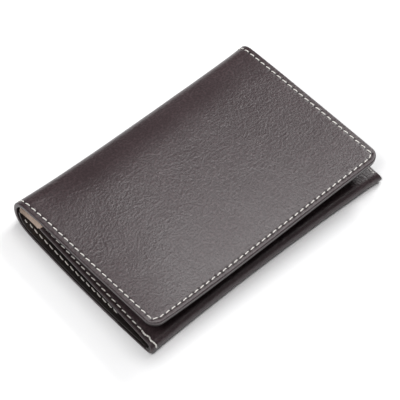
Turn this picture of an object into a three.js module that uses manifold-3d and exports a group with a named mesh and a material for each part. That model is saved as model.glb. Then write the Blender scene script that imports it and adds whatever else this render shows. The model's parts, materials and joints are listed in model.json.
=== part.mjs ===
// Folding leather business card case, closed: a soft bifold with a gusseted card pocket.
// Millimetres. +X runs along the spine, +Y points to the spine, +Z is up.
// The origin is on the table, under the middle of the case.
//
// One long strip of leather makes the outside. It runs along the base, round the spine and over
// the cover, and at the front it folds back on itself to become the pocket panel. It is modelled
// as the four rigid stretches that it bends between: base, spine, cover and pocket panel.

import * as THREE from 'three';
import { mergeVertices } from 'three/addons/utils/BufferGeometryUtils.js';
import Module from 'manifold-3d';

const wasm = await Module();
wasm.setup();

// ---------------------------------------------------------------- driving dimensions

const baseWidth = 110;
const spineWidth = 108.6;
const coverWidth = 107.5;
const panelWidth = 107.5;
const depth = 74.5;

const spineRadius = 6.8;
const coverTilt = 2.7; // degrees that the cover rises towards the front
const coverSetback = 0.8; // cover edge behind the tip of the front fold
const coverCornerRadius = 4.5;

const foldRadius = 2.5; // front fold, from the base to the pocket panel
const panelTilt = 5; // degrees that the pocket panel rises towards its mouth
const panelMouthY = 23.5;
const slipMouthY = 24;

const layerGap = 0.05;
const leather = 1.1;
const board = 0.35;
const baseLiningThickness = 0.7;
const coverLiningThickness = 0.45;
const slipLeather = 0.6;
const panelLiningThickness = 0.75;
const gussetLeather = 0.55;
const leafThickness = 0.5;

const threadWidth = 0.55;
const threadLift = 0.02; // between the leather and the thread
const threadProud = 0.25; // top of the thread above the leather
const coverSeamMargin = 1.9;
const spineSeamMargin = 2.1;
const baseSeamMargin = 2;
const panelSeamMargin = 1.9;

const splitAngle = 1; // degrees of arc left open on each side of a spine split
const foldSplitAngle = 1.5;
const arcStep = 7.5; // degrees of arc in one facet

const gussetFrontY = -29; // flanges start where the fold is open enough for them
const leafFrontY = -24;
const flangeWidth = 3.4;
const leafWidth = 6.5; // from the seam to the crease, at the pocket's mouth
const leafHingeGap = 0.3;
const creaseGap = 0.7; // each leaf stops this far from the crease

// ---------------------------------------------------------------- places worked out from them

const halfDepth = depth / 2;
const spineCentre = { y: halfDepth - threadProud - spineRadius, z: spineRadius };
const foldCentre = { y: -halfDepth + foldRadius, z: foldRadius };

const boardDepth = leather + layerGap;
const liningDepth = boardDepth + board + layerGap;
const baseInside = liningDepth + baseLiningThickness;
const coverInside = liningDepth + coverLiningThickness;
const panelLiningDepth = leather + layerGap;
const panelInside = panelLiningDepth + panelLiningThickness;

const radians = THREE.MathUtils.degToRad;

// ---------------------------------------------------------------- colours

const brown = { color: 0x2b2322, roughness: 0.5, metalness: 0 };
const thinBrown = { color: 0x231c1b, roughness: 0.6, metalness: 0 };
const beige = { color: 0xb59f8c, roughness: 0.75, metalness: 0 };
const grey = { color: 0x8a8378, roughness: 0.9, metalness: 0 };
const cream = { color: 0xded6c8, roughness: 0.7, metalness: 0 };

// ---------------------------------------------------------------- side profile

// A station is a point on the outside of the case in the Y-Z plane, with its inward normal.

function arcStations(centre, radius, startDegrees, endDegrees) {
  const count = Math.max(1, Math.round(Math.abs(endDegrees - startDegrees) / arcStep));
  const stations = [];
  for (let i = 0; i <= count; i += 1) {
    const angle = radians(startDegrees + ((endDegrees - startDegrees) * i) / count);
    const out = { y: Math.cos(angle), z: Math.sin(angle) };
    stations.push({
      y: centre.y + radius * out.y,
      z: centre.z + radius * out.z,
      inward: { y: -out.y, z: -out.z },
    });
  }
  return stations;
}

function stationAtY(start, y, slopeDegrees) {
  const z = start.z + (y - start.y) * Math.tan(radians(slopeDegrees));
  return { y, z, inward: start.inward };
}

const baseFront = { y: foldCentre.y, z: 0, inward: { y: 0, z: 1 } };
const baseRear = { y: spineCentre.y, z: 0, inward: { y: 0, z: 1 } };

const frontHalfFold = arcStations(foldCentre, foldRadius, -180 + foldSplitAngle, -90);
const lowerSpine = arcStations(spineCentre, spineRadius, -90, -45 - splitAngle);
const middleSpine = arcStations(spineCentre, spineRadius, -45 + splitAngle, 45 - splitAngle);
const upperSpine = arcStations(spineCentre, spineRadius, 45 + splitAngle, 90 - coverTilt);
const panelHalfFold = arcStations(foldCentre, foldRadius, 180 - foldSplitAngle, 90 + panelTilt);

const coverRear = upperSpine.at(-1);
const panelFront = panelHalfFold.at(-1);
const coverStation = (y) => stationAtY(coverRear, y, -coverTilt);
const panelStation = (y) => stationAtY(panelFront, y, panelTilt);

const coverFrontY = -halfDepth + coverSetback;
const pastCoverFront = coverStation(coverFrontY - 1);
const panelMouth = panelStation(panelMouthY);

function band(stations, outerDepth, innerDepth) {
  const at = (s, d) => new THREE.Vector2(s.y + s.inward.y * d, s.z + s.inward.z * d);
  const outside = stations.map((s) => at(s, outerDepth));
  const inside = stations.map((s) => at(s, innerDepth)).reverse();
  return new THREE.Shape([...outside, ...inside]);
}

// A sheet is a band of the profile drawn out along X, from x0 to x1.
function sheet(stations, outerDepth, innerDepth, x0, x1) {
  const shape = band(stations, outerDepth, innerDepth);
  const geometry = new THREE.ExtrudeGeometry(shape, { depth: x1 - x0, bevelEnabled: false });
  const profileToSide = new THREE.Matrix4().makeBasis(
    new THREE.Vector3(0, 1, 0),
    new THREE.Vector3(0, 0, 1),
    new THREE.Vector3(1, 0, 0),
  );
  return geometry.applyMatrix4(profileToSide).translate(x0, 0, 0);
}

const fullSheet = (stations, outerDepth, innerDepth, width) =>
  sheet(stations, outerDepth, innerDepth, -width / 2, width / 2);

// A seam is a narrow strip of thread on the outside of the profile.
function seam(stations, surfaceDepth, x) {
  const top = surfaceDepth - threadProud;
  const bottom = surfaceDepth - threadLift;
  return sheet(stations, top, bottom, x - threadWidth / 2, x + threadWidth / 2);
}

// ---------------------------------------------------------------- cutting to the cover's outline

function toSolid(geometry) {
  const bare = geometry.clone();
  bare.deleteAttribute('normal');
  bare.deleteAttribute('uv');
  const merged = mergeVertices(bare, 1e-4);
  return new wasm.Manifold(new wasm.Mesh({
    numProp: 3,
    vertProperties: new Float32Array(merged.attributes.position.array),
    triVerts: new Uint32Array(merged.index.array),
  }));
}

function toGeometry(solid) {
  const mesh = solid.getMesh();
  const geometry = new THREE.BufferGeometry();
  geometry.setAttribute('position', new THREE.BufferAttribute(mesh.vertProperties, 3));
  geometry.setIndex(new THREE.BufferAttribute(mesh.triVerts, 1));
  geometry.computeVertexNormals();
  return geometry;
}

const intersect = (a, b) => toGeometry(toSolid(a).intersect(toSolid(b)));

// Plan outline of the cover, drawn in by a margin: straight sides, two rounded front corners.
function coverCurve(margin) {
  const side = coverWidth / 2 - margin;
  const front = coverFrontY + margin;
  const rear = halfDepth + 1;
  const radius = coverCornerRadius - margin;
  const path = new THREE.Path();
  path.moveTo(side, rear);
  path.lineTo(side, front + radius);
  path.absarc(side - radius, front + radius, radius, 0, -Math.PI / 2, true);
  path.absarc(-side + radius, front + radius, radius, -Math.PI / 2, -Math.PI, true);
  path.lineTo(-side, rear);
  return path.getPoints(6);
}

function prism(points) {
  return new THREE.ExtrudeGeometry(new THREE.Shape(points), {
    depth: 3 * spineRadius,
    bevelEnabled: false,
  });
}

const coverOutline = prism(coverCurve(0));
const coverSeamOutline = prism([
  ...coverCurve(coverSeamMargin - threadWidth / 2),
  ...coverCurve(coverSeamMargin + threadWidth / 2).reverse(),
]);

function coverSheet(stations, outerDepth, innerDepth) {
  return intersect(fullSheet(stations, outerDepth, innerDepth, baseWidth), coverOutline);
}

// ---------------------------------------------------------------- meshes

function mesh(name, geometry, finish) {
  const made = new THREE.Mesh(geometry, new THREE.MeshStandardMaterial(finish));
  made.name = name;
  return made;
}

const sides = [
  { name: 'left', sign: -1 },
  { name: 'right', sign: 1 },
];

function baseGroup() {
  const group = new THREE.Group();
  const outside = [...frontHalfFold, baseRear, ...lowerSpine.slice(1)];
  const lined = [baseFront, baseRear, ...lowerSpine.slice(1)];
  group.add(
    mesh('base_leather', fullSheet(outside, 0, leather, baseWidth), brown),
    mesh('base_stiffener', fullSheet([baseFront, baseRear], boardDepth, boardDepth + board,
      baseWidth), grey),
    mesh('base_lining', fullSheet(lined, liningDepth, baseInside, baseWidth), beige),
  );
  return group;
}

function spineGroup() {
  const group = new THREE.Group();
  group.add(
    mesh('spine_leather', fullSheet(middleSpine, 0, leather, spineWidth), brown),
    mesh('spine_lining', fullSheet(middleSpine, liningDepth, coverInside, spineWidth), beige),
  );
  for (const side of sides) {
    const x = side.sign * (spineWidth / 2 - spineSeamMargin);
    group.add(mesh(`spine_${side.name}_thread`, seam(middleSpine, 0, x), cream));
  }
  return group;
}

function coverGroup() {
  const group = new THREE.Group();
  const whole = [...upperSpine, pastCoverFront];
  const flat = [coverRear, pastCoverFront];
  const slip = [coverStation(slipMouthY), pastCoverFront];
  const slipDepth = coverInside + layerGap;
  const threadStrip = fullSheet(whole, -threadProud, -threadLift, baseWidth);
  group.add(
    mesh('cover_leather', coverSheet(whole, 0, leather), brown),
    mesh('cover_stiffener', coverSheet(flat, boardDepth, boardDepth + board), grey),
    mesh('cover_lining', coverSheet(whole, liningDepth, coverInside), beige),
    mesh('cover_slip_pocket', coverSheet(slip, slipDepth, slipDepth + slipLeather), thinBrown),
    mesh('cover_seam_thread', intersect(threadStrip, coverSeamOutline), cream),
  );
  return group;
}

function pocketGroup() {
  const group = new THREE.Group();
  const outside = [...panelHalfFold, panelMouth];
  const flat = [panelFront, panelMouth];
  const seamRun = [panelStation(gussetFrontY), panelStation(panelMouthY - 1)];
  const tackArc = arcStations(foldCentre, foldRadius, 150, 90 + panelTilt);
  group.add(
    mesh('pocket_leather', fullSheet(outside, 0, leather, panelWidth), brown),
    mesh('pocket_lining', fullSheet(flat, panelLiningDepth, panelInside, panelWidth), beige),
  );
  for (const side of sides) {
    const x = side.sign * (panelWidth / 2 - panelSeamMargin);
    group.add(
      mesh(`pocket_${side.name}_thread`, seam(seamRun, 0, x), cream),
      mesh(`${side.name}_backtack`, seam(tackArc, 0, x), cream),
    );
  }
  return group;
}

// ---------------------------------------------------------------- gussets

// Each gusset is one thin strip folded into a V that points into the case. Its two flanges are
// sewn to the base and to the pocket panel. Between them, two leaves meet in a crease. The seams
// and the crease all run to one apex, inside the front fold.

const flangeTopDepth = baseInside + layerGap + gussetLeather;
const panelFlangeDepth = panelInside + layerGap;
const lowerPlaneZ = baseInside + layerGap + gussetLeather / 2;
const upperPlaneDepth = panelFlangeDepth + gussetLeather / 2;

const panelSlope = Math.tan(radians(panelTilt));
const upperPlaneZ = (y) => panelStation(y).z - upperPlaneDepth / Math.cos(radians(panelTilt));
const apexY = foldCentre.y - (upperPlaneZ(foldCentre.y) - lowerPlaneZ) / panelSlope;
const creaseSlope = leafWidth / (panelMouthY - apexY);
const leafRise = Math.asin(Math.tan(radians(panelTilt / 2)) / creaseSlope);
const hingeInset = baseWidth / 2 - flangeWidth;

// A leaf's outline: u runs from the apex along the seam, v from the seam to the crease.
function leafGeometry(sign) {
  const nearApex = leafFrontY - apexY;
  const atMouth = panelMouthY - apexY;
  const outline = new THREE.Shape([
    new THREE.Vector2(leafHingeGap, nearApex),
    new THREE.Vector2(nearApex * creaseSlope - creaseGap, nearApex),
    new THREE.Vector2(atMouth * creaseSlope - creaseGap, atMouth),
    new THREE.Vector2(leafHingeGap, atMouth),
  ]);
  const geometry = new THREE.ExtrudeGeometry(outline, { depth: leafThickness, bevelEnabled: false });
  geometry.translate(0, 0, -leafThickness / 2);
  return sign < 0 ? geometry : geometry.rotateY(Math.PI);
}

// The leaf turns about its seam, which slopes by `tilt` degrees. Rise is up from the base.
function placedLeaf(name, sign, tilt, rise) {
  const leaf = mesh(name, leafGeometry(sign), thinBrown);
  leaf.rotation.y = sign * rise;
  const seamLine = new THREE.Group();
  seamLine.position.set(sign * hingeInset, apexY, lowerPlaneZ);
  seamLine.rotation.x = radians(tilt);
  seamLine.add(leaf);
  return seamLine;
}

function gussetGroup(side) {
  const group = new THREE.Group();
  const edges = (outer) => {
    const pair = [side.sign * outer, side.sign * (hingeInset + layerGap)];
    return pair.sort((a, b) => a - b);
  };
  const baseRun = [{ ...baseFront, y: gussetFrontY }, baseRear];
  const panelRun = [panelStation(gussetFrontY), panelMouth];
  const baseSeamRun = [{ ...baseFront, y: gussetFrontY + 1 }, baseRear];
  const baseSeamX = side.sign * (baseWidth / 2 - baseSeamMargin);
  const name = side.name;
  group.add(
    mesh(`${name}_gusset_base_flange`,
      sheet(baseRun, baseInside + layerGap, flangeTopDepth, ...edges(baseWidth / 2)), thinBrown),
    mesh(`${name}_gusset_panel_flange`,
      sheet(panelRun, panelFlangeDepth, panelFlangeDepth + gussetLeather,
        ...edges(panelWidth / 2)), thinBrown),
    mesh(`base_${name}_thread`,
      sheet(baseSeamRun, flangeTopDepth + threadLift, flangeTopDepth + threadProud,
        baseSeamX - threadWidth / 2, baseSeamX + threadWidth / 2), cream),
    placedLeaf(`${name}_gusset_lower_leaf`, side.sign, 0, leafRise),
    placedLeaf(`${name}_gusset_upper_leaf`, side.sign, panelTilt, -leafRise),
  );
  return group;
}

// ---------------------------------------------------------------- the whole case

const cardCase = new THREE.Group();
cardCase.add(baseGroup(), spineGroup(), coverGroup(), pocketGroup());
for (const side of sides) {
  cardCase.add(gussetGroup(side));
}

export default cardCase;
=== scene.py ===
"""A folding leather business card case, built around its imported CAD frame.

One strip of leather runs from the mouth of the card pocket, down round the front fold, along the
base, round the spine and over the cover to its rounded front edge. Every sheet, seam and lining is
placed on that strip: s is the distance along it, x the distance across it, and depth the distance
in from its outer surface. Only the gussets' flanges and leaves are laid out on their own.
Sizes are in millimetres until a mesh is built, which is in metres.
"""
import json
import math

import bpy
import numpy as np
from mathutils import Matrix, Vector, kdtree, noise


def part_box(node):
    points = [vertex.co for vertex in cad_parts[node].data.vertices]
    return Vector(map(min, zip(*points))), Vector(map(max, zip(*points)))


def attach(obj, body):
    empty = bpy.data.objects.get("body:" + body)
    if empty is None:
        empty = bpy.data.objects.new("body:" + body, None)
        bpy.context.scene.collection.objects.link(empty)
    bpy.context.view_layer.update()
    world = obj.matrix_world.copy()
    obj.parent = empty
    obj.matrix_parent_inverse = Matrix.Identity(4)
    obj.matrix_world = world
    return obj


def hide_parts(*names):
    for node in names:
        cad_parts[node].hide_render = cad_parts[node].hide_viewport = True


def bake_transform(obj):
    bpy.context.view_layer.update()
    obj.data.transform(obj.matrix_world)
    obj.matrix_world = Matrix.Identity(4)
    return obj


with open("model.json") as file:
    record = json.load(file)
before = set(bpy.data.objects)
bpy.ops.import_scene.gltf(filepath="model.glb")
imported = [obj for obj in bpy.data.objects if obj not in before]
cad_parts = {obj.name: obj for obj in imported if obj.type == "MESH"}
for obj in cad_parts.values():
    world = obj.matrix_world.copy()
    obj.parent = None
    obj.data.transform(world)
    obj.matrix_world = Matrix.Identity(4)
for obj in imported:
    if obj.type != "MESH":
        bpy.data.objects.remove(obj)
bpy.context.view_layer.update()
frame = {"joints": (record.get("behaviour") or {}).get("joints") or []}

MM = 0.001
UV_PER_MM = 0.01
SIDES = (("left", -1), ("right", 1))


# ------------------------------------------------------------------ sizes taken from the frame

def low(node):
    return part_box(node)[0] / MM


def high(node):
    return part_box(node)[1] / MM


joints = {joint["name"]: joint for joint in frame["joints"]}
lower_axis = Vector(joints["spine_fold"]["pos_m"]) / MM
upper_axis = Vector(joints["cover_fold"]["pos_m"]) / MM
leaf_axis = Vector(joints["right_lower_leaf_turn"]["pos_m"]) / MM

SPINE_R = (upper_axis.z - lower_axis.z) / math.sqrt(2)
SPINE_Y = lower_axis.y - SPINE_R / math.sqrt(2)
FOLD_Y = low("base_stiffener").y
FOLD_R = FOLD_Y - low("base_leather").y
COVER_FRONT = low("cover_leather").y
MOUTH_Y = 23.5      # the card pocket's mouth
SLIP_MOUTH_Y = 24   # the slip pocket's mouth
COVER_TILT = math.radians(2.7)
PANEL_TILT = math.radians(5.0)
HINGE_X = leaf_axis.x
APEX_Y = leaf_axis.y
APEX_Z = leaf_axis.z

HALF_BASE = high("base_leather").x
HALF_SPINE = high("spine_leather").x
HALF_COVER = high("cover_leather").x
HALF_PANEL = high("pocket_leather").x
CORNER_R = 4.5

LEATHER = 1.1
# depths in from the outside of the strip
LIP = 1.5           # the leather's painted rim reaches down to the lining
COVER_INSIDE = 2.0
SLIP_INSIDE = 2.65
BASE_INSIDE = 2.25
FLANGE_TOP = 2.8
PANEL_LINING = 1.9
LINING_INSET = 0.9  # the linings begin this far in from the strip's edge
BOARD_INSET = 1.3
BOARD_PLAY = 0.02
# how far each sheet's edges are rounded, outside and inside
SKIN_ROUND = (0.35, 0.2)
LINING_ROUND = (0.06, 0.12)

REAR_SLOPE = math.radians(21)  # the spine's bend dies away over the rear of the cover
EDGE_SLOPE = math.radians(7)   # but sooner at its side edges, which the seams hold down
REAR_BEND = 19.0
HELD_FROM = 20      # from this far across, the seams begin to hold the cover
HELD_OVER = 32
LEFT_DIP = 0.75     # the cover's left edge dips between its ends
COVER_DROOP = 0.35  # the cover's front edge turns down
COVER_SAG = 1.9     # soft leather sinks between the gussets at the front
SAG_LEFT = 0.8      # powers that set how fast the sag dies away towards each side
SAG_RIGHT = 2.2
COVER_SKEW = 0.5    # it lies a little to the right at the front
PANEL_SKEW = -0.1   # the pocket panel lies a little to the left
PANEL_SPREAD = 0.25
FOLD_BOW = 1.25     # the front fold draws back between its sewn ends
FOLD_BOW_Y = -18    # it begins here
FOLD_BOW_OVER = 17  # and is whole this much further forward
BASE_BOW = 0.7      # the base's side edges bulge
PINCH = 0.5         # the fold's sewn ends are pressed to a point
LEFT_PINCH = 0.2
PINCH_REACH = 2.2
LEFT_FLARE = 1.3    # the spine stands out at its sewn ends
RIGHT_FLARE = 0.6
BASE_SPLIT_Y = -20  # where the two pieces of base leather meet, underneath


def smoothstep(t):
    t = np.clip(t, 0, 1)
    return t * t * (3 - 2 * t)


# ------------------------------------------------------------------ the strip's side profile

def arc(centre_y, centre_z, radius, start, end, step=3.0):
    """Points round an arc, between two angles in degrees."""
    count = max(2, int(abs(end - start) / step))
    angle = np.radians(np.linspace(start, end, count + 1))
    return np.stack([centre_y + radius * np.cos(angle), centre_z + radius * np.sin(angle)], 1)


def straight(first, last, step=1.0):
    count = max(2, int(np.hypot(*(np.array(last) - first)) / step))
    return np.linspace(first, last, count + 1)


def strip_profile(rear_slope):
    """The outer surface in the Y-Z plane, from the pocket's mouth to the cover's front edge.

    The cover leaves the spine at the rear slope, which dies away over REAR_BEND.
    """
    fold = arc(FOLD_Y, FOLD_R, FOLD_R, 90 + math.degrees(PANEL_TILT), 270)
    mouth_z = fold[0][1] + (MOUTH_Y - fold[0][0]) * math.tan(PANEL_TILT)
    panel = straight((MOUTH_Y, mouth_z), fold[0])
    base = straight(fold[-1], (SPINE_Y, 0))
    front_z = 2 * SPINE_R + (SPINE_Y - COVER_FRONT) * math.tan(COVER_TILT) - COVER_DROOP
    spine = arc(SPINE_Y, SPINE_R, SPINE_R, -90, 90 - math.degrees(rear_slope))
    y = np.linspace(spine[-1][0], COVER_FRONT, 70)
    t = (y[0] - y) / (y[0] - y[-1])
    bend = 1 - np.clip((y[0] - y) / REAR_BEND, 0, 1)
    extra = math.tan(rear_slope) * REAR_BEND / 3 * (1 - bend ** 3)
    rest = front_z + COVER_DROOP - spine[-1][1] - extra[-1]
    cover = np.stack([y, spine[-1][1] + extra + rest * t - COVER_DROOP * t ** 6], 1)
    return np.concatenate([panel, fold[1:], base[1:], spine[1:], cover[1:]])


class Strip:
    """Distances along the profile, and points and inward normals at a distance."""

    def __init__(self, points):
        steps = np.hypot(*np.diff(points, axis=0).T)
        self.s = np.concatenate([[0], np.cumsum(steps)])
        self.points = points
        tangent = np.gradient(points, self.s, axis=0)
        tangent /= np.hypot(*tangent.T)[:, None]
        self.inward = np.stack([-tangent[:, 1], tangent[:, 0]], 1)
        self.length = self.s[-1]

    def at(self, s):
        point = [np.interp(s, self.s, self.points[:, k]) for k in (0, 1)]
        inward = [np.interp(s, self.s, self.inward[:, k]) for k in (0, 1)]
        return (*point, *inward)

    def nearest(self, y, z):
        return self.s[np.argmin(np.hypot(self.points[:, 0] - y, self.points[:, 1] - z))]


strip = Strip(strip_profile(REAR_SLOPE))
edge_strip = Strip(strip_profile(EDGE_SLOPE))
S_FOLD_TOP = strip.nearest(FOLD_Y, 2 * FOLD_R)
S_FOLD_TIP = strip.nearest(FOLD_Y - FOLD_R, FOLD_R)
S_FOLD_END = strip.nearest(FOLD_Y, 0)
S_BASE_SPLIT = strip.nearest(BASE_SPLIT_Y, 0)
S_BASE_REAR = strip.nearest(SPINE_Y, 0)
S_MID_SPINE = strip.nearest(SPINE_Y + SPINE_R, SPINE_R)
S_COVER_REAR = strip.nearest(SPINE_Y, 2 * SPINE_R)
S_FRONT = strip.length


def half_width(s):
    """Half the strip's width: narrower as the pocket panel, with bulging sides as the base."""
    stations = [0, S_FOLD_TOP, S_FOLD_END, S_BASE_REAR, S_MID_SPINE, S_COVER_REAR + 8, S_FRONT]
    widths = [HALF_PANEL + PANEL_SPREAD, HALF_PANEL + 2 * PANEL_SPREAD, HALF_BASE, HALF_BASE,
              HALF_SPINE, HALF_COVER, HALF_COVER]
    along_base = np.clip((s - S_FOLD_END) / (S_BASE_REAR - S_FOLD_END), 0, 1)
    return np.interp(s, stations, widths) + BASE_BOW * np.sin(math.pi * along_base) ** 0.8


def cover_sag(x, along):
    """How far the cover sinks: nothing at its sides, most halfway to its left side."""
    across = np.clip(0.5 + x / (2 * HALF_COVER), 0.001, 0.999)
    lowest = SAG_LEFT / (SAG_LEFT + SAG_RIGHT)
    peak = lowest ** SAG_LEFT * (1 - lowest) ** SAG_RIGHT
    return COVER_SAG * across ** SAG_LEFT * (1 - across) ** SAG_RIGHT / peak * along ** 2


def spine_flare(x, y, s):
    """How far the spine's sewn ends stand out."""
    end = np.abs(x) / HALF_BASE
    flare = np.where(x < 0, LEFT_FLARE * end ** 2.6, RIGHT_FLARE * end ** 5)
    rear = np.clip((y - SPINE_Y + 2) / (SPINE_R + 2), 0, 1) * (s > S_FOLD_END)
    return flare * smoothstep(rear)


def fold_pinch(x, s):
    """How far the fold's sewn ends are drawn to a point."""
    tip = np.exp(-((s - S_FOLD_TIP) / PINCH_REACH) ** 2)
    tip = tip * np.clip(10 * (np.abs(x) / HALF_BASE - 0.9), 0, 1) ** 2
    return np.where(x > 0, PINCH, LEFT_PINCH) * tip


def place(x, s, depth):
    """Points in metres on the strip, bent and sagged as soft leather is."""
    x, s, depth = np.broadcast_arrays(*(np.asarray(v, float) for v in (x, s, depth)))
    held = smoothstep((np.abs(x) - HELD_FROM) / HELD_OVER) * (s > S_MID_SPINE)
    stretch = (edge_strip.length - S_MID_SPINE) / (S_FRONT - S_MID_SPINE)
    middle = strip.at(s)
    edge = edge_strip.at(np.where(held > 0, S_MID_SPINE + (s - S_MID_SPINE) * stretch, s))
    y, z, inward_y, inward_z = (m + held * (e - m) for m, e in zip(middle, edge))
    y, z = y + inward_y * depth, z + inward_z * depth

    along = np.clip((s - S_COVER_REAR) / (S_FRONT - S_COVER_REAR), 0, 1)
    z = z - cover_sag(x, along)
    z = z - LEFT_DIP * np.where(x < 0, held, 0) * np.sin(math.pi * along ** 0.8)
    bow = np.clip(1 - (x / HALF_BASE) ** 2, 0, 1) * smoothstep((FOLD_BOW_Y - y) / FOLD_BOW_OVER)
    y = y + np.where(s < S_BASE_REAR, FOLD_BOW * bow, 0)
    flare = spine_flare(x, y, s)
    y = y + flare
    z = z + 0.25 * flare * np.clip(z / SPINE_R - 0.5, 0, 1)

    on_panel = np.clip((S_FOLD_END - s) / (S_FOLD_END - S_FOLD_TOP), 0, 1)
    pinch = fold_pinch(x, s)
    x = x + np.sign(x) * pinch + COVER_SKEW * along + PANEL_SKEW * on_panel
    return np.stack([x, y - pinch, z], -1) * MM


# ------------------------------------------------------------------ meshes from grids

def perimeter(rows, columns):
    """Grid places round the edge of a grid, in order."""
    ring = [(0, j) for j in range(columns)]
    ring += [(i, columns - 1) for i in range(1, rows)]
    ring += [(rows - 1, j) for j in range(columns - 2, -1, -1)]
    ring += [(i, 0) for i in range(rows - 2, 0, -1)]
    return ring


TOP, RIM, BOTTOM = range(3)  # which of a solid's materials a face has


def solid(name, top, bottom, rings, uv, materials, hole_shade=None, ring_uvs=None):
    """A closed mesh from a top grid, a bottom grid and the rings between their edges.

    The materials are for the top, the rim and the bottom. The hole values darken each needle hole
    in the leather's colour: painted shade, as the holes are only shallow dimples.
    """
    rows, columns = top.shape[:2]
    edge = perimeter(rows, columns)
    count = rows * columns
    points = [top.reshape(-1, 3), bottom.reshape(-1, 3)] + list(rings)
    flat_uv = uv.reshape(-1, 2)
    edge_index = [i * columns + j for i, j in edge]
    uvs = np.concatenate([flat_uv, flat_uv] + (ring_uvs or [flat_uv[edge_index]] * len(rings)))
    faces, kinds = [], []
    for i in range(rows - 1):
        for j in range(columns - 1):
            a = i * columns + j
            quad = [a, a + columns, a + columns + 1, a + 1]
            faces.append(quad)
            kinds.append(TOP)
            faces.append([count + v for v in reversed(quad)])
            kinds.append(BOTTOM)
    loops = [edge_index]
    for k in range(len(rings)):
        start = 2 * count + k * len(edge)
        loops.append(list(range(start, start + len(edge))))
    loops.append([count + v for v in edge_index])
    for upper, lower in zip(loops, loops[1:]):
        for k in range(len(edge)):
            after = (k + 1) % len(edge)
            faces.append([upper[k], upper[after], lower[after], lower[k]])
            kinds.append(RIM)
    piece = build(name, np.concatenate(points), faces, uvs, kinds, materials)
    # The hole values carry painted shade for the needle holes, through the needle attribute
    if hole_shade is not None:
        values = np.zeros(len(piece.data.vertices), np.float32)
        values[:count] = hole_shade.ravel()
        needle = piece.data.attributes.new("needle", "FLOAT", "POINT")
        needle.data.foreach_set("value", values)
    return piece


def build(name, points, faces, uvs, kinds, materials):
    """A Blender object from points in metres.

    The kinds say which material each face has. Past the end of the list it is the last one.
    """
    mesh = bpy.data.meshes.new(name)
    mesh.from_pydata([tuple(p) for p in points], [], faces)
    layer = mesh.uv_layers.new(name="strip")
    corner_vertex = np.zeros(len(mesh.loops), int)
    mesh.loops.foreach_get("vertex_index", corner_vertex)
    layer.data.foreach_set("uv", np.asarray(uvs, np.float32)[corner_vertex].ravel())
    for material in materials:
        mesh.materials.append(material)
    mesh.polygons.foreach_set("material_index", np.minimum(kinds, len(materials) - 1).astype(int))
    mesh.shade_smooth()
    mesh.set_sharp_from_angle(angle=math.radians(50))
    mesh.validate()
    mesh.update()
    piece = bpy.data.objects.new(name, mesh)
    bpy.context.scene.collection.objects.link(piece)
    return piece


# ------------------------------------------------------------------ sheets of leather and lining

# Grid lines lie close together along an edge, where its seam runs.
EDGE_LINES = [0, 0.75, 1.05, 1.3, 1.55, 1.8, 2.05, 2.3, 2.6, 3.0, 3.6, 4.5]


class Outline:
    """The plan of one sheet: part of the strip, drawn in by an inset, with lines for its grid.

    The lines are kept as distances in from the sheet's side edges and back from its end.
    """

    def __init__(self, s_start, s_end, inset=0.0, round_end=False, row_step=2.0, column_step=2.0,
                 start_free=False):
        self.s_end = s_end
        self.inset = inset
        self.radius = CORNER_R - inset if round_end else 0.0
        self.end_free = round_end
        self.start_free = start_free
        self.span = half_width(s_end) - inset
        self.length = s_end - s_start - inset * (round_end + start_free)
        inner = max(3, round((self.span - EDGE_LINES[-1]) / column_step))
        to_middle = np.linspace(EDGE_LINES[-1], self.span, inner + 1)
        self.from_side = np.array(EDGE_LINES[:-1] + list(to_middle))
        end_lines = EDGE_LINES if round_end else [0.0]
        start_lines = EDGE_LINES if start_free else [0.0]
        last = self.length - start_lines[-1] - 0.3 * row_step
        lines = end_lines[:-1] + list(np.arange(end_lines[-1], last, row_step))
        lines += [self.length - line for line in reversed(start_lines)]
        self.from_end = np.array(lines[::-1])

    def plane(self, grow=0.0):
        """x and s of each grid point. The grid's edge moves out by grow."""
        across = np.concatenate([self.from_side, self.from_side[-2::-1]])
        middle = len(self.from_side)
        side = np.concatenate([-np.ones(middle), np.ones(middle - 1)])
        across, along = np.meshgrid(across, self.from_end)
        side = np.broadcast_to(side, across.shape)
        at_end = (along < 1e-9) & self.end_free
        at_start = (along > self.length - 1e-9) & self.start_free
        away = np.where(across < 1e-9, across - grow, across)
        back = np.where(at_end, along - grow, along)
        back = np.where(at_start, back + grow, back)
        if self.radius:
            away, back = self._rounded(across, along, away, back, grow)
        s = self.s_end - self.inset * self.end_free - back
        half = half_width(s) - self.inset
        stretch = half / self.span
        x = side * (half - away * np.where(across > EDGE_LINES[-1], stretch, 1.0))
        x = np.where(np.abs(across - self.span) < 1e-9, 0.0, x)
        return x, s

    def _rounded(self, across, along, away, back, grow):
        """The square grid lines of each corner, drawn round."""
        r = self.radius
        in_corner = (across < r) & (along < r)
        p, q = r - np.minimum(across, r), r - np.minimum(along, r)
        big, small = np.maximum(p, q), np.minimum(p, q)
        share = np.divide(small, big, out=np.zeros_like(big), where=big > 1e-9)
        turn = np.where(p >= q, share, 2 - share) * math.pi / 4
        edge = (across < 1e-9) | (along < 1e-9)
        reach = big + np.where(edge, grow, 0)
        round_away = r - reach * np.cos(turn)
        round_back = r - reach * np.sin(turn)
        return np.where(in_corner, round_away, away), np.where(in_corner, round_back, back)


def quarter(radius, count=3):
    """A rounded edge: how far it has moved out and down from the flat face, at each step."""
    angle = np.radians(np.linspace(0, 90, count + 1))
    return [(radius * (math.sin(t) - 1), radius * (1 - math.cos(t))) for t in angle]


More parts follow.
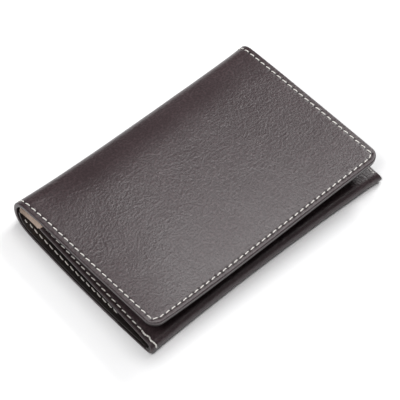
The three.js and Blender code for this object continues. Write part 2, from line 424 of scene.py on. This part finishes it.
def sheet(name, outline, top, bottom, materials, top_round=0.3, bottom_round=0.12,
          relief=None, lip=None):
    """A closed sheet of the strip between two depths, with rounded edges.

    The bottom is a depth, or a function that gives one at each distance s.
    """
    inner = bottom if callable(bottom) else lambda at: np.full(np.shape(at), float(bottom))
    x, s = outline.plane(-top_round)
    sink, hole_shade = relief(x, s) if relief else (0, None)
    top_grid = place(x, s, top + sink)
    x_low, s_low = outline.plane(-bottom_round)
    low_depth = inner(s_low)
    if lip:
        inside = np.minimum(half_width(s_low) - outline.inset - np.abs(x_low),
                            np.where(outline.end_free, outline.s_end - s_low, 99))
        low_depth = low_depth - lip * smoothstep((inside - LINING_INSET) / 0.3)
    bottom_grid = place(x_low, s_low, low_depth)
    profile = [(grow, drop, False) for grow, drop in quarter(top_round)[1:]]
    profile += [(grow, drop, True) for grow, drop in reversed(quarter(bottom_round)[1:])]
    rows, columns = np.array(perimeter(*x.shape)).T
    uv = np.stack([x, s], -1)
    outward = (np.stack(outline.plane(1), -1) - np.stack(outline.plane(0), -1))[rows, columns]
    rings, ring_uvs = [], []
    for grow, drop, at_bottom in profile:  # the texture runs on round the rim
        ring_x, ring_s = (part[rows, columns] for part in outline.plane(grow))
        ring_depth = inner(ring_s) - drop if at_bottom else np.full(ring_s.shape, top + drop)
        rings.append(place(ring_x, ring_s, ring_depth))
        walked = (grow + top_round + ring_depth - top)[:, None]
        ring_uvs.append((uv[rows, columns] + outward * walked) * UV_PER_MM)
    return solid(name, top_grid, bottom_grid, rings, uv * UV_PER_MM, materials, hole_shade, ring_uvs)


# ------------------------------------------------------------------ seams

SIDE_MARGIN = 1.95
FRONT_MARGIN = 1.9
PANEL_MARGIN = 1.6
SIDE_PITCH = 2.93
FRONT_PITCH = 2.6
PANEL_PITCH = 2.75
THREAD_RADIUS = 0.22
THREAD_FACETS = 8
THREAD_SLANT = 0.13
THREAD_PROUD = 0.14
INNER_SEAM_DEPTH = FLANGE_TOP + 0.05  # where the base's stitches lie, inside
GROOVE_WIDTH = 0.6
GROOVE_BANK = 1.2  # the leather swells this far beside the thread
DIMPLE_LENGTH = 0.5
DIMPLE_WIDTH = 0.42
SEAM_REACH = 2.5   # the seam's relief ends here
STITCH_GAP = 0.12  # how much of the pitch a stitch leaves free at each end
S_INNER_SEAM = S_COVER_REAR + 8  # the cover's stitches show inside from here on
S_SEAM_TURN = S_BASE_REAR + 1.5  # the side seam's inner stitches start up the spine here
UNDER_SEAM_Y = -31  # the side seams' first holes, underneath
SEAM_HIDDEN_Y = {-1: -20, 1: -29}  # further forward the pressed gusset hides the base seam


def run_along_side(side, s_values, margin):
    """Holes in a row, a margin in from one side edge."""
    return np.stack([side * (half_width(s_values) - margin), s_values], 1)


def cover_holes():
    """Needle holes of the cover's U seam, from mid-spine on the left round to mid-spine right."""
    s_side = side_rows()
    left = run_along_side(-1, s_side, SIDE_MARGIN)
    half = HALF_COVER - FRONT_MARGIN - 0.95 * FRONT_PITCH
    front_x = np.linspace(-half, half, round(2 * half / FRONT_PITCH) + 1)
    front = np.stack([front_x, np.full(front_x.shape, S_FRONT - FRONT_MARGIN)], 1)
    return np.concatenate([left, front, left[::-1] * (-1, 1)])


def side_rows():
    """Where the cover's side seams have their holes, from mid-spine to the front."""
    last = S_FRONT - FRONT_MARGIN - 1.0
    count = int((last - S_MID_SPINE) / SIDE_PITCH)
    return last - SIDE_PITCH * np.arange(count, -1, -1)


def back_holes(side):
    """Needle holes of one side seam, from the front of the base to mid-spine, underneath."""
    s_values = np.arange(side_rows()[0], strip.nearest(UNDER_SEAM_Y, 0), -SIDE_PITCH)[::-1]
    return run_along_side(side, s_values, SIDE_MARGIN)


def base_holes(side):
    """Needle holes of the stitches that show on the base, inside."""
    s_values = np.arange(S_SEAM_TURN, strip.nearest(SEAM_HIDDEN_Y[side], 0), -SIDE_PITCH)[::-1]
    return run_along_side(side, s_values, SIDE_MARGIN)


def spine_inner_holes(side):
    """The last stitch that shows inside: the seam runs out to the edge as it climbs the spine."""
    s_values = S_SEAM_TURN + np.array([0.9, 0.9 + SIDE_PITCH])
    return run_along_side(side, s_values, SIDE_MARGIN - 0.14 * (s_values - S_BASE_REAR))


def panel_holes(side):
    """Needle holes of one side of the card pocket."""
    s_values = np.arange(1.2, S_FOLD_TOP - 4.6, PANEL_PITCH)
    return run_along_side(side, s_values, PANEL_MARGIN)


def seam_relief(holes, groove=0.07, dimple=0.22, noise_height=0.05):
    """How far a sheet's surface sinks: a groove under the thread and a dimple at each hole."""
    steps = [np.linspace(p, q, 6)[:-1] for p, q in zip(holes, holes[1:])
             if np.hypot(*(q - p)) < 2 * SIDE_PITCH]
    line = np.concatenate(steps)
    line_tree = kdtree.KDTree(len(line))
    for k, point in enumerate(line):
        line_tree.insert((point[0], point[1], 0), k)
    line_tree.balance()
    hole_tree = kdtree.KDTree(len(holes))
    for k, point in enumerate(holes):
        hole_tree.insert((point[0], point[1], 0), k)
    hole_tree.balance()

    def relief(x, s):
        sink = np.zeros(x.shape)
        painted_hole_shade = np.zeros(x.shape)
        for cell in np.ndindex(x.shape):
            where = (x[cell], s[cell], 0)
            across = line_tree.find(where)[2]
            if across < SEAM_REACH:
                along = math.sqrt(max(0, hole_tree.find(where)[2] ** 2 - across ** 2))
                slit = math.exp(-(along / DIMPLE_LENGTH) ** 2 - (across / DIMPLE_WIDTH) ** 2)
                sink[cell] += groove * math.exp(-(across / GROOVE_WIDTH) ** 2) + dimple * slit
                sink[cell] -= 0.02 * math.exp(-((across - GROOVE_BANK) / 0.5) ** 2)
                # the slit also sets how much painted shade darkens the hole
                painted_hole_shade[cell] = slit
            wave = noise.noise(Vector((where[0] * 0.07, where[1] * 0.09, 3.1)))
            wave += 0.5 * noise.noise(Vector((where[0] * 0.21, where[1] * 0.17, 8.4)))
            free = where[1] - S_MID_SPINE if where[1] > S_MID_SPINE else S_FOLD_TIP - where[1]
            sink[cell] -= noise_height * wave * min(1, max(0, free) / 5)
        return sink, painted_hole_shade

    return relief


def thread_tube(parts, centre, out, radii, flatness, along):
    """Add a closed tube of thread round a centre line to the points, faces and UVs in parts."""
    points, faces, uvs = parts
    forward = np.gradient(centre, axis=0)
    forward /= np.linalg.norm(forward, axis=1)[:, None]
    beside = np.cross(forward, out)
    beside /= np.linalg.norm(beside, axis=1)[:, None]
    up = np.cross(beside, forward)
    first = len(points)
    for k, middle in enumerate(centre):
        for n in range(THREAD_FACETS):
            angle = 2 * math.pi * n / THREAD_FACETS
            ring = math.cos(angle) * beside[k] + flatness * math.sin(angle) * up[k]
            points.append((middle + radii[k] * ring) * MM)
            uvs.append((along[k], n / THREAD_FACETS))
    last = first + (len(centre) - 1) * THREAD_FACETS
    for a in range(first, last, THREAD_FACETS):
        b = a + THREAD_FACETS
        for n in range(THREAD_FACETS):
            after = (n + 1) % THREAD_FACETS
            faces.append([a + n, a + after, b + after, b + n])
    faces.append([first + n for n in reversed(range(THREAD_FACETS))])
    faces.append([last + n for n in range(THREAD_FACETS)])


def thread_piece(name, parts):
    points, faces, uvs = parts
    return build(name, np.array(points), faces, uvs, np.zeros(len(faces), int), [thread])


def stitches(name, holes, depth, proud=THREAD_PROUD, skip=lambda hole: False, slant=THREAD_SLANT):
    """One thread stitch between each two holes, dipping into the holes at its ends.

    The thread's centre stands proud of the depth it is given, or further in where proud is
    negative. Holes far apart have no stitch between them.
    """
    parts = [], [], []
    t = np.linspace(0, 1, 9)
    dip = np.maximum(smoothstep((0.2 - t) / 0.2), smoothstep((t - 0.8) / 0.2))
    height = depth - proud + (proud + 0.42) * dip
    for first, last in zip(holes, holes[1:]):
        gap = np.hypot(*(last - first))
        if gap > 1.6 * SIDE_PITCH or skip(first):
            continue
        across = np.array([-(last - first)[1], (last - first)[0]]) / gap
        reach = STITCH_GAP + (1 - 2 * STITCH_GAP) * t
        plan = first + np.outer(reach, last - first) + np.outer(slant * (1 - 2 * t), across)
        centre = place(plan[:, 0], plan[:, 1], height) / MM
        out = centre - place(plan[:, 0], plan[:, 1], height + 1) / MM
        thread_tube(parts, centre, out, THREAD_RADIUS * (1 - 0.35 * dip), 0.75, t * gap)
    return thread_piece(name, parts)


def thread_line(name, plan, heights, radius):
    """A loose end of thread along points (x, s) at the given depths."""
    fine = np.linspace(0, len(plan) - 1, 6 * (len(plan) - 1) + 1)
    index = np.arange(len(plan))
    x = np.interp(fine, index, [point[0] for point in plan])
    s = np.interp(fine, index, [point[1] for point in plan])
    depth = np.interp(fine, index, heights)
    centre = place(x, s, depth) / MM
    out = centre - place(x, s, depth + 1) / MM
    step = np.arange(len(centre))
    parts = [], [], []
    thread_tube(parts, centre, out, radius * (1 + 0.25 * np.sin(2.1 * step)), 1, 0.5 * step)
    return thread_piece(name, parts)


# ------------------------------------------------------------------ materials

class Nodes:
    """A small helper that makes and links shader nodes."""

    def __init__(self, name):
        self.material = bpy.data.materials.new(name)
        self.material.use_nodes = True
        self.tree = self.material.node_tree
        self.shader = self.tree.nodes["Principled BSDF"]

    def make(self, kind, inputs=(), **settings):
        node = self.tree.nodes.new(kind)
        for key, value in settings.items():
            setattr(node, key, value)
        for key, value in dict(inputs).items():
            self.put(node, key, value)
        return node

    def put(self, node, key, value):
        socket = node.inputs[key]
        if isinstance(value, bpy.types.NodeSocket):
            self.tree.links.new(value, socket)
        else:
            socket.default_value = value

    def math(self, operation, a, b):
        node = self.make("ShaderNodeMath", {0: a, 1: b}, operation=operation)
        return node.outputs[0]

    def millimetres(self, stretch=(1, 1, 1), turn=0.0):
        uv = self.make("ShaderNodeUVMap", uv_map="strip").outputs[0]
        scale = tuple(v / UV_PER_MM for v in stretch)
        mapping = self.make("ShaderNodeMapping", {"Vector": uv, "Rotation": (0, 0, turn),
                                                  "Scale": scale})
        return mapping.outputs[0]

    def noise(self, vector, scale, detail=2.0, roughness=0.5, distortion=0.0):
        inputs = {"Vector": vector, "Scale": scale, "Detail": detail, "Roughness": roughness,
                  "Distortion": distortion}
        return self.make("ShaderNodeTexNoise", inputs, noise_dimensions="2D").outputs[0]

    def remap(self, value, low_in, high_in, low_out, high_out):
        inputs = {"Value": value, "From Min": low_in, "From Max": high_in, "To Min": low_out,
                  "To Max": high_out}
        return self.make("ShaderNodeMapRange", inputs).outputs[0]

    def mix(self, factor, a, b):
        """Mix two colours: they are inputs 6 and 7 of the node, and its output 2."""
        node = self.make("ShaderNodeMix", data_type="RGBA")
        self.put(node, 0, factor)
        self.put(node, 6, a)
        self.put(node, 7, b)
        return node.outputs[2]

    def bump(self, height, distance, normal=None):
        inputs = {"Height": height, "Distance": distance, "Strength": 1.0}
        if normal is not None:
            inputs["Normal"] = normal
        return self.make("ShaderNodeBump", inputs).outputs[0]

    def finish(self, **inputs):
        for key, value in inputs.items():
            self.put(self.shader, key.replace("_", " "), value)
        return self.material


def rgb(red, green, blue):
    return (red, green, blue, 1)


def leather_material(name, colour, deep, wrinkle, grain):
    """Smooth-grain leather: fine pebbles, soft directional wrinkles and uneven dye.

    Wrinkle and grain are the heights of the two reliefs, in millimetres.
    """
    n = Nodes(name)
    pore = rgb(*(0.6 * v for v in deep[:3]))
    plain = n.millimetres()
    slanted = n.millimetres((1.0, 0.42, 1), math.radians(28))
    crossing = n.millimetres((0.5, 1.0, 1), math.radians(-20))
    cells = n.make("ShaderNodeTexVoronoi", {"Vector": plain, "Scale": 1.2, "Randomness": 0.95},
                   feature="SMOOTH_F1", voronoi_dimensions="2D").outputs["Distance"]
    pores = n.noise(plain, 2.6, 2.0, 0.6)
    folds = n.noise(slanted, 0.55, 2.0, 0.55, 0.5)
    creases = n.noise(crossing, 0.9, 2.0, 0.5, 0.3)
    clouds = n.noise(plain, 0.05, 2.0, 0.5)
    fine = n.math("ADD", n.math("MULTIPLY", cells, 0.7), n.math("MULTIPLY", pores, 0.45))
    broad = n.math("ADD", folds, n.math("MULTIPLY", creases, 0.5))
    normal = n.bump(broad, wrinkle * MM)
    normal = n.bump(fine, grain * MM, normal)
    worn = n.remap(n.math("ADD", clouds, n.math("MULTIPLY", folds, 0.35)), 0.45, 0.95, 0.0, 1.0)
    tone = n.mix(worn, deep, colour)
    tone = n.mix(n.remap(fine, 0.25, 0.7, 0.0, 1.0), pore, tone)
    # Needle holes turn near-black: painted shade, as the holes are only shallow dimples in the mesh
    needle = n.make("ShaderNodeAttribute", attribute_name="needle").outputs["Fac"]
    tone = n.mix(needle, tone, rgb(0.002, 0.0015, 0.0015))
    rough = n.remap(n.math("ADD", pores, clouds), 0.7, 1.3, 0.30, 0.38)
    return n.finish(Base_Color=tone, Roughness=rough, Normal=normal, Specular_IOR_Level=0.55)


def edge_material(name, colour, deep):
    """Burnished edge paint: smoother and darker than the grain, with faint layer lines."""
    n = Nodes(name)
    plain = n.millimetres()
    uneven = n.noise(plain, 0.6, 3.0, 0.6)
    tone = n.mix(n.remap(uneven, 0.35, 0.7, 0, 1), deep, colour)
    normal = n.bump(n.noise(plain, 1.6, 2.0, 0.5), 0.05 * MM)
    rough = n.remap(uneven, 0.3, 0.7, 0.50, 0.62)
    return n.finish(Base_Color=tone, Roughness=rough, Normal=normal, Specular_IOR_Level=0.3)


def lining_material():
    """Beige split-leather lining: a low, even grain and slightly blotched dye."""
    n = Nodes("beige_lining")
    plain = n.millimetres()
    cells = n.make("ShaderNodeTexVoronoi", {"Vector": plain, "Scale": 2.4},
                   feature="SMOOTH_F1", voronoi_dimensions="2D").outputs["Distance"]
    blotch = n.noise(plain, 0.12, 3.0, 0.6)
    tone = n.mix(n.remap(blotch, 0.35, 0.7, 0, 1), rgb(0.74, 0.59, 0.49), rgb(0.85, 0.71, 0.61))
    tone = n.mix(n.remap(cells, 0.05, 0.45, 0, 1), rgb(0.68, 0.54, 0.45), tone)
    normal = n.bump(cells, 0.03 * MM)
    rough = n.remap(blotch, 0.3, 0.7, 0.66, 0.78)
    return n.finish(Base_Color=tone, Roughness=rough, Normal=normal)


def thread_material():
    """Cream thread of three plies, twisted along the stitch."""
    n = Nodes("cream_thread")
    uv = n.make("ShaderNodeUVMap", uv_map="strip").outputs[0]
    slanting = n.make("ShaderNodeMapping", {"Vector": uv, "Scale": (1.0, 0.8, 1)}).outputs[0]
    plies = n.make("ShaderNodeTexWave", {"Vector": slanting, "Scale": 1.1, "Distortion": 0.0},
                   wave_type="BANDS", bands_direction="DIAGONAL").outputs["Fac"]
    fibres = n.noise(uv, 14.0, 2.0, 0.6)
    tone = n.mix(n.remap(plies, 0.0, 0.7, 0, 1), rgb(0.66, 0.63, 0.58), rgb(0.92, 0.90, 0.87))
    tone = n.mix(n.remap(fibres, 0.3, 0.6, 0, 1), rgb(0.74, 0.71, 0.66), tone)
    normal = n.bump(plies, 0.08 * MM)
    rough = n.remap(fibres, 0.3, 0.7, 0.6, 0.8)
    return n.finish(Base_Color=tone, Roughness=rough, Normal=normal)


def board_material():
    """Bonded leather board: matt, speckled with fibres."""
    n = Nodes("fibre_board")
    speckle = n.noise(n.millimetres((1, 0.3, 1)), 3.0, 3.0, 0.7)
    tone = n.mix(speckle, rgb(0.20, 0.16, 0.12), rgb(0.36, 0.31, 0.25))
    rough = n.remap(speckle, 0.2, 0.8, 0.85, 0.95)
    return n.finish(Base_Color=tone, Roughness=rough, Normal=n.bump(speckle, 0.05 * MM))


grain = leather_material("brown_leather", rgb(0.060, 0.038, 0.042), rgb(0.044, 0.027, 0.030),
                         0.08, 0.075)
# A much darker copy of the brown leather for the gussets, the flange ends and the slip pocket's
# inner face: painted shade for the dark inside of the case
thin_grain_painted_shade = leather_material("thin_brown_leather_painted_shade", rgb(0.016, 0.010, 0.0098),
                              rgb(0.010, 0.0065, 0.006), 0.08, 0.06)
paint = edge_material("edge_paint", rgb(0.018, 0.012, 0.0115), rgb(0.011, 0.008, 0.0078))
flesh = leather_material("leather_flesh_side", rgb(0.10, 0.07, 0.055), rgb(0.07, 0.05, 0.04),
                         0.04, 0.05)
lining = lining_material()
thread = thread_material()
board = board_material()


# ------------------------------------------------------------------ pieces baked in place, their transforms applied to their meshes


def bend_lower_spine(piece):
    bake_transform(piece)


def bend_upper_spine(piece):
    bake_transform(piece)


def bend_front_fold(piece):
    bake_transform(piece)


# ------------------------------------------------------------------ the outer leather

def outer_leather():
    faces = [grain, grain, paint]
    holes = cover_holes()
    outline = Outline(S_MID_SPINE, S_FRONT, round_end=True, row_step=SIDE_PITCH / 6,
                      column_step=FRONT_PITCH / 6)
    cover = sheet("cover_skin", outline, 0, LIP, faces, *SKIN_ROUND, seam_relief(holes),
                  LIP - LEATHER)
    bend_upper_spine(cover)
    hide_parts("cover_leather", "spine_leather")

    under = np.concatenate([back_holes(-1), back_holes(1)])
    outline = Outline(S_BASE_SPLIT, S_MID_SPINE, row_step=SIDE_PITCH / 6)
    back = sheet("base_skin", outline, 0, LIP, faces, *SKIN_ROUND,
                 seam_relief(under, groove=0.34, dimple=0.2, noise_height=0.0), LIP - LEATHER)
    bend_lower_spine(back)
    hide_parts("base_leather", "spine_leather")

    panel = np.concatenate([panel_holes(-1), panel_holes(1)])
    outline = Outline(0, S_BASE_SPLIT, start_free=True, row_step=0.5)
    front = sheet("pocket_skin", outline, 0, LEATHER, faces, *SKIN_ROUND, seam_relief(panel))
    bend_front_fold(front)
    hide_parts("pocket_leather", "base_leather")


# ------------------------------------------------------------------ boards and linings

def boards():
    for name, start, end, node, body, rounded in (
        ("cover_board", S_COVER_REAR + 1, S_FRONT, "cover_stiffener", "cover", True),
        ("base_board", S_FOLD_END, S_BASE_REAR, "base_stiffener", "base", False),
    ):
        outline = Outline(start, end, inset=BOARD_INSET, round_end=rounded)
        piece = sheet(name, outline, LEATHER + BOARD_PLAY, LIP - BOARD_PLAY, [board], 0.1, 0.1)
        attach(piece, body)
        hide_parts(node)


def linings():
    faces = [lining, paint, lining]
    outline = Outline(S_MID_SPINE, S_FRONT, inset=LINING_INSET, round_end=True)
    piece = sheet("cover_lining_skin", outline, LIP, COVER_INSIDE, faces, *LINING_ROUND)
    bend_upper_spine(piece)
    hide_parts("cover_lining", "spine_lining")

    def thinning(s):
        """The base's lining thins round the spine to meet the cover's."""
        climbed = smoothstep((s - S_BASE_REAR) / (S_MID_SPINE - S_BASE_REAR))
        return BASE_INSIDE + (COVER_INSIDE - BASE_INSIDE) * climbed

    outline = Outline(S_FOLD_END, S_MID_SPINE, inset=LINING_INSET)
    piece = sheet("base_lining_skin", outline, LIP, thinning, faces, *LINING_ROUND)
    bend_lower_spine(piece)
    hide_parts("base_lining", "spine_lining")

    outline = Outline(0, S_FOLD_TOP, inset=0.3, start_free=True)
    piece = sheet("pocket_lining_skin", outline, LEATHER, PANEL_LINING, faces, *LINING_ROUND)
    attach(piece, "pocket")
    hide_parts("pocket_lining")


def slip_pocket():
    mouth = S_FRONT - (SLIP_MOUTH_Y - low("cover_slip_pocket").y)
    outline = Outline(mouth, S_FRONT, inset=0.3, round_end=True, start_free=True)
    # The slip pocket's inner face takes the darker leather copy: painted shade
    faces = [flesh, paint, thin_grain_painted_shade]
    piece = sheet("slip_pocket_skin", outline, COVER_INSIDE, SLIP_INSIDE, faces, 0.06, 0.25)
    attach(piece, "cover")
    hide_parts("cover_slip_pocket")


# ------------------------------------------------------------------ gussets

LEAF_WIDTH = 6.5       # at the mouth; the leaves narrow to nothing at the front fold
LEAF_SLOPE = LEAF_WIDTH / (MOUTH_Y - APEX_Y)
LEAF_RISE = math.asin(math.tan(PANEL_TILT / 2) / LEAF_SLOPE)
GUSSET_HALF = 0.25     # half the gusset leather's thickness
GUSSET_EDGE = 0.03
GUSSET_FRONT = -34.6
FLANGE_REAR = (MOUTH_Y + 0.4, 26, 28)  # the lower flange runs on past the mouth
TAIL_FRONT = 27.6
TAIL_WIDTH = 2.75
NOSE_WIDTH = 3.5


def gusset_grid(side, y_values, flange_half, lower):
    """Mid-surface of half a gusset: the flange under the seam, then the leaf to the crease."""
    flange_steps, leaf_steps = 6, 10
    rows = []
    for y in y_values:
        reach = LEAF_SLOPE * (y - APEX_Y) if y <= MOUTH_Y + 0.01 else GUSSET_EDGE
        reach = max(GUSSET_EDGE, reach)
        outer = half_width(strip.nearest(y, 0)) - 0.3 if lower else flange_half
        flange = np.linspace(outer, HINGE_X, flange_steps + 1)[:-1]
        leaf = np.linspace(0, reach, leaf_steps + 1)
        across = np.concatenate([flange, HINGE_X - leaf * math.cos(LEAF_RISE)])
        lift = np.concatenate([np.zeros(flange_steps), leaf * math.sin(LEAF_RISE)])
        if lower:
            rows.append(np.stack([side * across, np.full(across.shape, y), APEX_Z + lift], 1))
        else:
            along = y - APEX_Y
            up = -lift
            tilted_y = APEX_Y + along * math.cos(PANEL_TILT) - up * math.sin(PANEL_TILT)
            tilted_z = APEX_Z + along * math.sin(PANEL_TILT) + up * math.cos(PANEL_TILT)
            rows.append(np.stack([side * across, tilted_y, tilted_z], 1))
    return np.array(rows)


def gusset_half(name, side, y_values, flange_half, lower):
    """One flange and its leaf, as thick as the closed pocket leaves room for."""
    middle = gusset_grid(side, y_values, flange_half, lower)
    along = np.gradient(middle, axis=0)
    across = np.gradient(middle, axis=1)
    normal = np.cross(along, across)
    normal /= np.linalg.norm(normal, axis=2)[..., None]
    normal *= np.sign(normal[..., 2:3]) * (1 if lower else -1)
    room = 0.8 * (np.array(y_values) - APEX_Y) * math.tan(PANEL_TILT / 2) - 0.01
    half = np.minimum(GUSSET_HALF, room)[:, None, None]
    top = middle + normal * half
    bottom = middle - normal * half
    uv = np.stack([middle[..., 0] + 200, middle[..., 1]], -1) * UV_PER_MM
    if (side > 0) == lower:
        top, bottom, middle, uv = (grid[:, ::-1] for grid in (top, bottom, middle, uv))
    rows, columns = np.array(perimeter(*middle.shape[:2])).T
    # The gusset takes the darker leather copy: painted shade inside the pocket
    return solid(name, top * MM, bottom * MM, [middle[rows, columns] * MM], uv,
                 [thin_grain_painted_shade, paint, thin_grain_painted_shade])


def gussets():
    y_upper = np.linspace(GUSSET_FRONT, MOUTH_Y, 30)
    y_lower = np.concatenate([y_upper, FLANGE_REAR])
    for name, side in SIDES:
        lower = gusset_half(f"{name}_gusset_lower", side, y_lower, HALF_BASE - 0.1, True)
        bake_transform(lower)
        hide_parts(f"{name}_gusset_base_flange", f"{name}_gusset_lower_leaf")
        upper = gusset_half(f"{name}_gusset_upper", side, y_upper, HALF_PANEL - 0.1, False)
        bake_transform(upper)
        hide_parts(f"{name}_gusset_panel_flange", f"{name}_gusset_upper_leaf")


def flange_end(name, side, s_values, edge_gap, width, depths):
    """Thin leather along one side edge of the strip, lying between two depths."""
    outer = half_width(s_values) - edge_gap
    x = side * (outer[:, None] - np.linspace(0, 1, 6) * np.reshape(width, (-1, 1)))
    s = np.broadcast_to(s_values[:, None], x.shape)
    if side > 0:
        x = x[:, ::-1]
    rows, columns = np.array(perimeter(*x.shape)).T
    outside, middle, inside = (place(x, s, depth) for depth in depths)
    uv = np.stack([x + 200, s], -1) * UV_PER_MM
    # The flange ends take the darker leather copy: painted shade
    return solid(name, outside, inside, [middle[rows, columns]], uv, [thin_grain_painted_shade])


def gusset_tails():
    """The rear ends of the base flanges: they narrow to nothing as they climb the spine."""
    s_values = np.linspace(strip.nearest(TAIL_FRONT, 0), S_MID_SPINE - 0.4, 26)
    climbed = np.clip((s_values - S_BASE_REAR) / (S_MID_SPINE - S_BASE_REAR), 0, 1)
    width = TAIL_WIDTH * (1 - 0.3 * climbed - 0.7 * climbed ** 2) + 0.1
    depths = (BASE_INSIDE + 0.02, BASE_INSIDE + 0.26, BASE_INSIDE + 0.5)
    for name, side in SIDES:
        tail = flange_end(f"{name}_gusset_tail", side, s_values, 0.35, width, depths)
        bend_lower_spine(tail)
        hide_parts(f"{name}_gusset_base_flange")


def gusset_noses():
    """The front ends of the flanges, pressed together inside the fold."""
    s_values = np.linspace(S_FOLD_TOP - 0.5, S_FOLD_END + 0.5, 22)
    depths = (LEATHER + 0.03, 0.7 * FOLD_R, 0.93 * FOLD_R)
    for name, side in SIDES:
        nose = flange_end(f"{name}_gusset_nose", side, s_values, 0.15, NOSE_WIDTH, depths)
        bend_front_fold(nose)
        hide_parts(f"{name}_gusset_base_flange")


# ------------------------------------------------------------------ all the stitching

def stitching():
    holes = cover_holes()
    outer = stitches("cover_stitches", holes, 0.1)
    bend_upper_spine(outer)
    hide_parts("cover_seam_thread", "spine_left_thread", "spine_right_thread")
    inner = stitches("cover_inner_stitches", holes, SLIP_INSIDE - 0.1, proud=-0.2,
                     skip=lambda hole: hole[1] < S_INNER_SEAM, slant=-THREAD_SLANT)
    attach(inner, "cover")
    pieces = [outer, inner]
    for name, side in SIDES:
        back = stitches(f"spine_{name}_stitches", back_holes(side), 0.3, proud=0.05)
        bend_lower_spine(back)
        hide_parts(f"spine_{name}_thread")
        base = stitches(f"base_{name}_stitches", base_holes(side), INNER_SEAM_DEPTH,
                        proud=-THREAD_PROUD)
        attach(base, "base")
        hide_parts(f"base_{name}_thread")
        climb = stitches(f"spine_{name}_inner_stitches", spine_inner_holes(side),
                         INNER_SEAM_DEPTH, proud=-THREAD_PROUD)
        bend_lower_spine(climb)
        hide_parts(f"spine_{name}_thread")
        panel = stitches(f"pocket_{name}_stitches", panel_holes(side), 0.1)
        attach(panel, "pocket")
        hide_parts(f"pocket_{name}_thread")
        tack = back_tack(name, side)
        pieces += [back, base, climb, panel, tack]


def back_tack(name, side):
    """The seam's tied-off end: a thick zigzag on the left, small stitches on the right."""
    half = HALF_PANEL + 2 * PANEL_SPREAD
    if side < 0:
        offsets = [-5.2, -3.3, -1.6, -0.2, 1.9, 3.2]  # along the strip from the fold
        margins = [1.65, 1.25, 1.85, 1.3, 1.9, 1.75]
        depths = [0.15, -0.3, -0.15, -0.3, -0.25, 0.1]
        plan = [(margin - half, S_FOLD_TOP + offset) for offset, margin in zip(offsets, margins)]
        piece = thread_line(f"{name}_back_tack", plan, depths, 0.3)
    else:
        holes = np.array([(half - 1.15, S_FOLD_TOP + offset) for offset in (-3.4, -2.1, -0.9, 0.3)])
        piece = stitches(f"{name}_back_tack", holes, 0.1)
    bend_front_fold(piece)
    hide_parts(f"{name}_backtack")
    return piece


# ------------------------------------------------------------------ studio and camera, in metres

FLOOR_REACH = 3.0
SKY_STRENGTH = 0.17
SOFTBOX_HEIGHT = 0.6
SOFTBOXES = {
    # name: x and y of its centre, its sides, its radiance
    "left": (-0.35, -0.10, 0.25, 0.25, 11.0),
    "overhead": (-0.10, -0.10, 0.25, 0.25, 2.5),
    "rear": (0.15, 0.15, 0.25, 0.25, 7.6),
    "right": (0.65, 0.20, 0.25, 0.35, 15.6),
    "front_right": (0.40, -0.10, 0.25, 0.25, 3.4),
}


def pale_floor():
    mesh = bpy.data.meshes.new("floor")
    near, far = -FLOOR_REACH, FLOOR_REACH
    corners = [(near, near, 0), (far, near, 0), (far, far, 0), (near, far, 0)]
    mesh.from_pydata(corners, [], [(0, 1, 2, 3)])
    floor = bpy.data.objects.new("floor", mesh)
    bpy.context.scene.collection.objects.link(floor)
    mesh.materials.append(Nodes("pale_floor").finish(
        Base_Color=rgb(0.94, 0.94, 0.945), Roughness=0.9, Specular_IOR_Level=0.0))


def studio():
    """A pale floor under soft boxes that all face straight down."""
    scene = bpy.context.scene
    scene.view_settings.view_transform = "Standard"
    pale_floor()
    scene.world = bpy.data.worlds.new("studio")
    scene.world.use_nodes = True
    background = scene.world.node_tree.nodes["Background"]
    background.inputs["Color"].default_value = (1.0, 1.0, 1.0, 1)
    background.inputs["Strength"].default_value = SKY_STRENGTH
    for name, (x, y, size_x, size_y, radiance) in SOFTBOXES.items():
        light = bpy.data.lights.new(name, "AREA")
        light.shape = "RECTANGLE"
        light.size = size_x
        light.size_y = size_y
        light.energy = radiance * math.pi * size_x * size_y
        lamp = bpy.data.objects.new(name, light)
        lamp.location = (x, y, SOFTBOX_HEIGHT)
        scene.collection.objects.link(lamp)


CAMERA_AZIMUTH = math.radians(-41.61)
CAMERA_ELEVATION = math.radians(55.41)
CAMERA_DISTANCE = 0.774
CAMERA_TARGET = Vector((0.00069, 0.00041, 0))
CAMERA_LENS = 193.4  # millimetres


def camera():
    level = math.cos(CAMERA_ELEVATION)
    back = Vector((math.sin(CAMERA_AZIMUTH) * level, -math.cos(CAMERA_AZIMUTH) * level,
                   math.sin(CAMERA_ELEVATION)))
    data = bpy.data.cameras.new("camera")
    data.lens = CAMERA_LENS
    data.sensor_width = 36
    eye = bpy.data.objects.new("camera", data)
    eye.location = CAMERA_TARGET + back * CAMERA_DISTANCE
    eye.rotation_mode = "QUATERNION"
    eye.rotation_quaternion = (-back).to_track_quat("-Z", "Y")
    bpy.context.scene.collection.objects.link(eye)
    bpy.context.scene.camera = eye


camera()
studio()
outer_leather()
boards()
linings()
slip_pocket()
gussets()
gusset_tails()
gusset_noses()
stitching()

bpy.context.view_layer.update()
